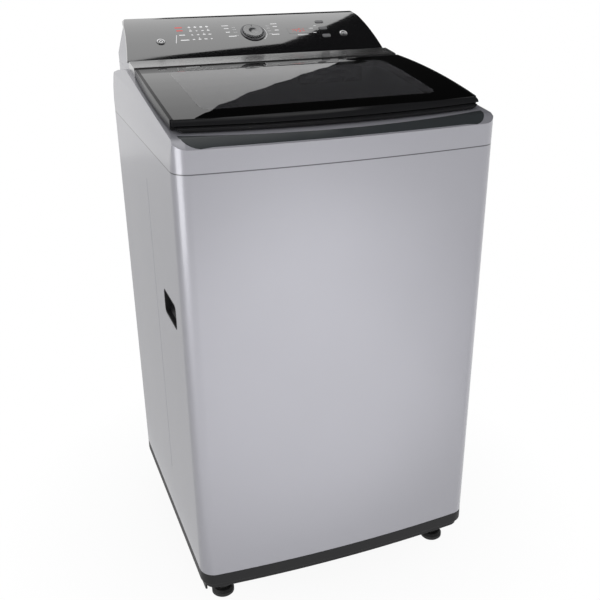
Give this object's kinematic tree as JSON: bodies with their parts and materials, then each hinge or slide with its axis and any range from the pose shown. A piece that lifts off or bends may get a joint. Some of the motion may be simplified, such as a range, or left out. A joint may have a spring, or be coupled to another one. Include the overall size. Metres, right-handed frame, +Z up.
{
  "type": "top load washing machine",
  "caption": "Top load washing machine with a bowed silver cabinet, dark glass lid, sloping black console, hung tub, basket, pulsator and belt drive.",
  "frame": {"origin": "on the floor, at the centre of the bounding box", "axes": "+Z up along the longest extent, front faces -Y, +X to the right of someone facing the front"},
  "size_m": [0.54, 0.56, 0.9884],
  "materials": {
    "body_paint": "satin lavender silver baked enamel",
    "top_plastic": "satin silver moulded plastic",
    "zinc_sheet": "zinc coated sheet",
    "base_black": "black moulded plastic",
    "rubber_black": "soft black rubber",
    "trim_grey": "dark grey satin plastic",
    "gloss_black": "black gloss plastic",
    "glass_dark": "smoked tempered glass with a black printed border",
    "fascia_black": "high gloss black",
    "display_red": "smoked display window",
    "chrome_trim": "bright plated",
    "knob_black": "black gloss plastic",
    "button_silver": "satin silver",
    "key_grey": "grey",
    "steel_bright": "bright steel",
    "steel_spring": "dark spring steel",
    "stainless": "perforated stainless steel",
    "white_plastic": "white moulded plastic",
    "pulsator_blue": "light blue grey plastic",
    "drawer_grey": "dark grey plastic",
    "aluminium_cast": "die cast aluminium",
    "board_green": "potted circuit board",
    "screw_zinc": "zinc plated"
  },
  "bodies": {
    "cabinet": {"cabinet_shell": "body_paint", "rear_panel": "zinc_sheet", "base_frame": "base_black", "rear_feet": "rubber_black", "foot_nuts": "screw_zinc", "top_frame": "top_plastic", "trim_strip": "trim_grey", "hinge_cover": "gloss_black", "console_housing": "top_plastic", "control_panel": "fascia_black", "display_window": "display_red", "control_board": "board_green", "dial_ring": "chrome_trim", "lid_lock": "white_plastic", "hand_grips": "base_black", "corner_brackets": "zinc_sheet", "suspension_rods": "steel_bright", "water_inlet_valve": "white_plastic", "dispenser_housing": "white_plastic", "pressure_switch": "white_plastic", "drain_outlet": "base_black", "drain_bellows": "rubber_black", "case_screws": "screw_zinc", "run_capacitor": "aluminium_cast", "suspension_springs": "steel_spring"},
    "lid": {"lid_frame": "gloss_black", "lid_glass": "glass_dark", "lid_hinge_pins": "steel_bright", "lid_bumpers": "rubber_black", "lid_hook": "gloss_black"},
    "dial": {"program_dial": "knob_black"},
    "power_key": {"power_button": "button_silver"},
    "start_key": {"start_button": "button_silver"},
    "temp_key": {"temperature_key": "key_grey"},
    "rinse_opt": {"rinse_key": "key_grey"},
    "spin_opt": {"spin_key": "key_grey"},
    "drawer": {"detergent_drawer": "drawer_grey"},
    "foot_left": {"front_foot_left": "rubber_black"},
    "foot_right": {"front_foot_right": "rubber_black"},
    "tub": {"outer_tub": "white_plastic", "tub_cover": "white_plastic", "shaft_seal": "rubber_black", "mounting_plate": "zinc_sheet", "gearcase": "aluminium_cast", "drive_motor": "aluminium_cast", "drive_belt": "rubber_black", "drain_actuator": "white_plastic", "drain_valve": "base_black", "damper_cups": "base_black"},
    "basket": {"basket_shell": "stainless", "basket_base": "pulsator_blue", "balance_ring": "pulsator_blue", "lint_filter": "pulsator_blue", "spin_tube": "steel_bright"},
    "agitator": {"pulsator": "pulsator_blue", "pulsator_shaft": "steel_bright"},
    "drive_wheel": {"gearcase_pulley": "aluminium_cast"},
    "motor_wheel": {"motor_pulley": "aluminium_cast"},
    "brake": {"brake_lever": "screw_zinc"},
    "drain_slide": {"drain_plug": "drawer_grey"}
  },
  "joints": [
    {"name": "lid_hinge", "type": "hinge", "parent": "cabinet", "child": "lid", "pos_m": [0, 0.0725, 0.91902], "axis": [-1, 0, 0], "range_deg": [0, 100]},
    {"name": "dial_turn", "type": "hinge", "parent": "cabinet", "child": "dial", "pos_m": [0, 0.19243, 0.96322], "axis": [0, -0.4704, 0.8825], "continuous": true},
    {"name": "power_push", "type": "slide", "parent": "cabinet", "child": "power_key", "axis": [0, 0.5214, -0.8533], "range_m": [0, 0.001], "stiffness_N_per_m": 600, "springref_m": -0.0005},
    {"name": "start_push", "type": "slide", "parent": "cabinet", "child": "start_key", "axis": [0, 0.5214, -0.8533], "range_m": [0, 0.001], "stiffness_N_per_m": 600, "springref_m": -0.0005},
    {"name": "temperature_push", "type": "slide", "parent": "cabinet", "child": "temp_key", "axis": [0, 0.3841, -0.9233], "range_m": [0, 0.001], "stiffness_N_per_m": 600, "springref_m": -0.0005},
    {"name": "rinse_push", "type": "slide", "parent": "cabinet", "child": "rinse_opt", "axis": [0, 0.4606, -0.8876], "range_m": [0, 0.001], "stiffness_N_per_m": 600, "springref_m": -0.0005},
    {"name": "spin_push", "type": "slide", "parent": "cabinet", "child": "spin_opt", "axis": [0, 0.5339, -0.8456], "range_m": [0, 0.001], "stiffness_N_per_m": 600, "springref_m": -0.0005},
    {"name": "drawer_slide", "type": "slide", "parent": "cabinet", "child": "drawer", "axis": [0, -1, 0], "range_m": [0, 0.085]},
    {"name": "foot_left_screw", "type": "slide", "parent": "cabinet", "child": "foot_left", "axis": [0, 0, -1], "range_m": [0, 0.01]},
    {"name": "foot_right_screw", "type": "slide", "parent": "cabinet", "child": "foot_right", "axis": [0, 0, -1], "range_m": [0, 0.01]},
    {"name": "tub_suspension", "type": "slide", "parent": "cabinet", "child": "tub", "axis": [0, 0, 1], "range_m": [-0.03, 0.01], "stiffness_N_per_m": 10000, "springref_m": 0.0206, "deforming": ["suspension_springs", "drain_bellows"]},
    {"name": "basket_spin", "type": "hinge", "parent": "tub", "child": "basket", "pos_m": [0, -0.009, 0.275], "axis": [0, 0, 1], "continuous": true},
    {"name": "pulsator_turn", "type": "hinge", "parent": "tub", "child": "agitator", "pos_m": [0, -0.009, 0.275], "axis": [0, 0, 1], "continuous": true},
    {"name": "drive_wheel_turn", "type": "hinge", "parent": "tub", "child": "drive_wheel", "pos_m": [0, -0.009, 0.151], "axis": [0, 0, 1], "continuous": true},
    {"name": "motor_wheel_turn", "type": "hinge", "parent": "tub", "child": "motor_wheel", "pos_m": [0.136, -0.009, 0.151], "axis": [0, 0, 1], "continuous": true},
    {"name": "drain_plug_slide", "type": "slide", "parent": "tub", "child": "drain_slide", "axis": [1, 0, 0], "range_m": [0, 0.014], "stiffness_N_per_m": 400, "springref_m": -0.004},
    {"name": "brake_release", "type": "hinge", "parent": "tub", "child": "brake", "pos_m": [0, 0.056, 0.243], "axis": [0, 0, -1], "range_deg": [0, 22.1]}
  ],
  "couplings": [
    {"joint": "drive_wheel_turn", "follows": "pulsator_turn", "ratio": 4},
    {"joint": "motor_wheel_turn", "follows": "pulsator_turn", "ratio": 10.182},
    {"joint": "brake_release", "follows": "drain_plug_slide", "rad_per_m": 27.435}
  ]
}
